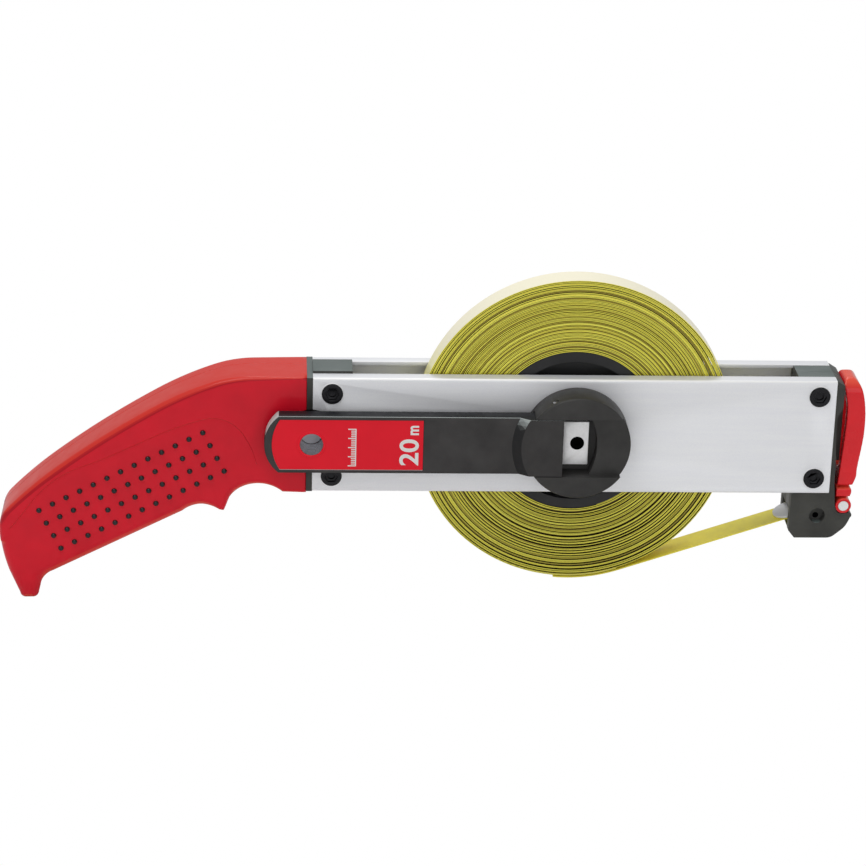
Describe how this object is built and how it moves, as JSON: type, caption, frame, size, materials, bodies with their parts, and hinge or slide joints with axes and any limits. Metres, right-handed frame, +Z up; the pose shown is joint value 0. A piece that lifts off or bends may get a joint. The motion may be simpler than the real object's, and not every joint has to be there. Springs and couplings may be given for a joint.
{
  "type": "surveyor tape reel",
  "caption": "Open-frame surveyor's tape reel: channel rails, bare steel tape coil, folding crank, moulded grip, nose block and end ring.",
  "frame": {"origin": "bottom centre of the whole object's box, in its pose of use with the rails level", "axes": "+X along the rails towards the nose, +Y from the crank side to the back, +Z up"},
  "size_m": [0.3623, 0.0424, 0.142],
  "materials": {
    "anodised_aluminium": "fine brushed, clear anodised",
    "red_plastic": "satin moulded ABS",
    "black_plastic": "fine-grained moulded nylon",
    "nub_rubber": "matt soft rubber",
    "black_steel": "black oxide",
    "bright_steel": "ground",
    "brass": "turned",
    "bronze": "sintered bearing bronze",
    "tape_coating": "gloss varnish on spring steel",
    "label_red": "printed glossy inlay",
    "wiper_plastic": "smooth acetal",
    "hub_plastic": "moulded"
  },
  "bodies": {
    "frame": {"front_side_rail": "anodised_aluminium", "rear_side_rail": "anodised_aluminium", "rear_block": "black_plastic", "nose_half_front": "black_plastic", "nose_half_rear": "black_plastic", "handle_front_shell": "red_plastic", "handle_rear_shell": "red_plastic", "grip_nubs_front": "nub_rubber", "grip_nubs_rear": "nub_rubber", "handle_screws": "black_steel", "frame_screws_front": "black_steel", "frame_screws_rear": "black_steel", "frame_inserts": "brass", "front_bearing_bush": "bronze", "rear_bearing_bush": "bronze", "guide_rod": "black_steel", "tape_wiper": "wiper_plastic", "tape_lead": "tape_coating", "tape_end_clip": "bright_steel", "ring_pin": "bright_steel"},
    "reel": {"hub": "hub_plastic", "tape_anchor": "bright_steel", "tape_pack": "tape_coating", "axle": "bright_steel", "rear_axle_screw": "black_steel", "front_thrust_washer": "bright_steel", "rear_thrust_washer": "bright_steel"},
    "crank_head": {"crank_disc": "black_plastic", "crank_plate": "bright_steel", "crank_screw": "black_steel", "crank_hinge_pin": "bright_steel"},
    "crank_lever": {"crank_arm": "black_plastic", "crank_label": "label_red", "knob_spindle": "bright_steel", "knob_washer": "bright_steel"},
    "knob": {"crank_knob": "black_plastic"},
    "ring": {"end_ring": "red_plastic"}
  },
  "joints": [
    {"name": "reel_spin", "type": "hinge", "parent": "frame", "child": "reel", "pos_m": [0.05886, 0.00585, 0.0756], "axis": [0, 1, 0], "continuous": true},
    {"name": "crank_turn", "type": "hinge", "parent": "frame", "child": "crank_head", "pos_m": [0.05886, -0.01415, 0.0756], "axis": [0, 1, 0], "range_deg": [-0.5, 0.5]},
    {"name": "crank_fold", "type": "hinge", "parent": "crank_head", "child": "crank_lever", "pos_m": [0.04906, -0.01815, 0.0756], "axis": [0, 0, 1], "range_deg": [0, 180]},
    {"name": "knob_spin", "type": "hinge", "parent": "crank_lever", "child": "knob", "pos_m": [-0.05114, 0.00085, 0.0756], "axis": [0, 1, 0], "continuous": true},
    {"name": "ring_swing", "type": "hinge", "parent": "frame", "child": "ring", "pos_m": [0.17436, 0.00585, 0.044], "axis": [0, 1, 0], "range_deg": [0, 90]}
  ]
}
